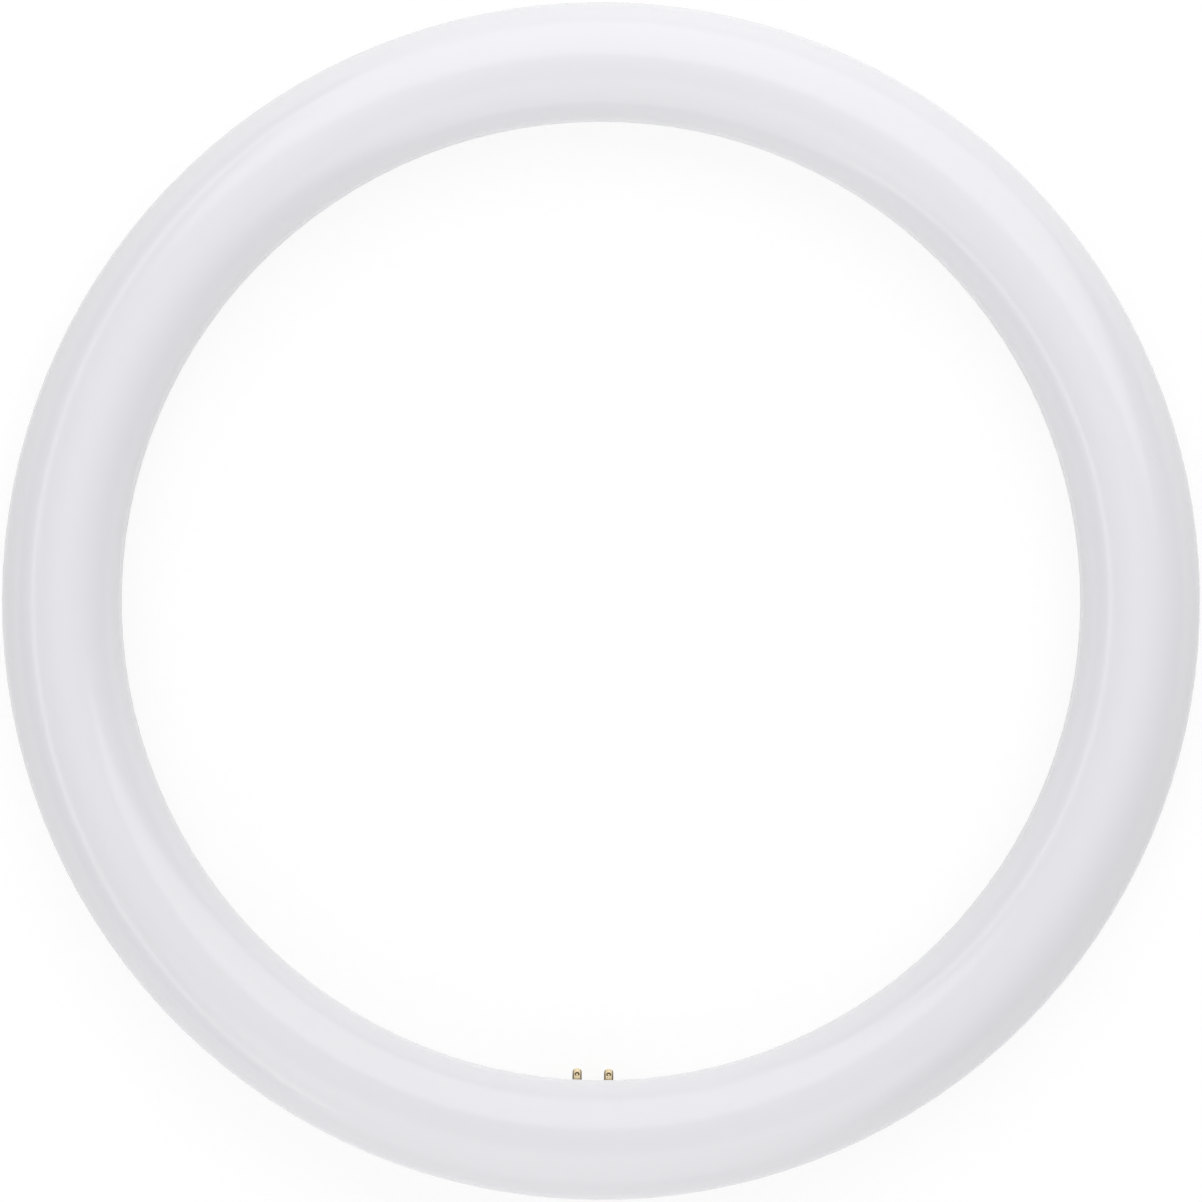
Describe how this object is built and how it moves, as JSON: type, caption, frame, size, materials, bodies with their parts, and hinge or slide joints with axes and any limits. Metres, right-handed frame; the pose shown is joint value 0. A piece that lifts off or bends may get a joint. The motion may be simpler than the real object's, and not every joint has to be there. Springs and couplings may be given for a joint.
{
  "type": "circular LED tube",
  "caption": "Ring-shaped lamp tube of round section with an opal front, a white rear shell and a pin base on its inner side.",
  "frame": {"origin": "centre of the ring, on the surface that the lamp lies on with its front up", "axes": "+Z along the ring's axis towards the front; -Y towards the base with the pins"},
  "size_m": [0.3, 0.3, 0.0327],
  "materials": {
    "opal_cover": "opal, smooth satin gloss",
    "white_housing": "opaque white, smooth satin gloss",
    "base_plastic": "moulded white",
    "pin_brass": "bright turned brass",
    "board_metal": "white solder mask on an aluminium core",
    "diode": "yellow phosphor in a white package",
    "screw_steel": "zinc-plated steel",
    "film": "translucent film",
    "driver_board": "green solder mask",
    "varistor_coat": "blue coating",
    "resistor_body": "green coating",
    "capacitor_block": "moulded block",
    "ferrite": "dark grey ferrite",
    "winding_copper": "enamelled copper wire, stood in for by brass",
    "winding_tape": "yellow tape over the winding",
    "chip_black": "moulded black package",
    "capacitor_can": "aluminium can in a dark sleeve",
    "bobbin": "black moulding",
    "pin_lead": "white insulated lead",
    "lamp_lead": "insulated lead"
  },
  "bodies": {
    "root": {"front_diffuser": "opal_cover", "rear_housing": "white_housing", "pin_base": "base_plastic", "contact_pin_front_left": "pin_brass", "contact_pin_front_right": "pin_brass", "contact_pin_rear_left": "pin_brass", "contact_pin_rear_right": "pin_brass", "led_board": "board_metal", "led_packages": "diode", "board_screws": "screw_steel", "insulation_film": "film", "driver_board": "driver_board", "varistor": "varistor_coat", "fuse_resistor": "resistor_body", "film_capacitor": "capacitor_block", "inductor_core": "ferrite", "inductor_winding": "winding_copper", "bridge_rectifier": "chip_black", "input_capacitor": "capacitor_can", "control_chip": "chip_black", "transformer_core": "ferrite", "transformer_bobbin": "bobbin", "transformer_winding": "winding_tape", "output_diode": "chip_black", "output_capacitor": "capacitor_can", "chip_resistors": "chip_black", "pin_leads": "pin_lead", "lamp_leads": "lamp_lead"}
  },
  "joints": []
}
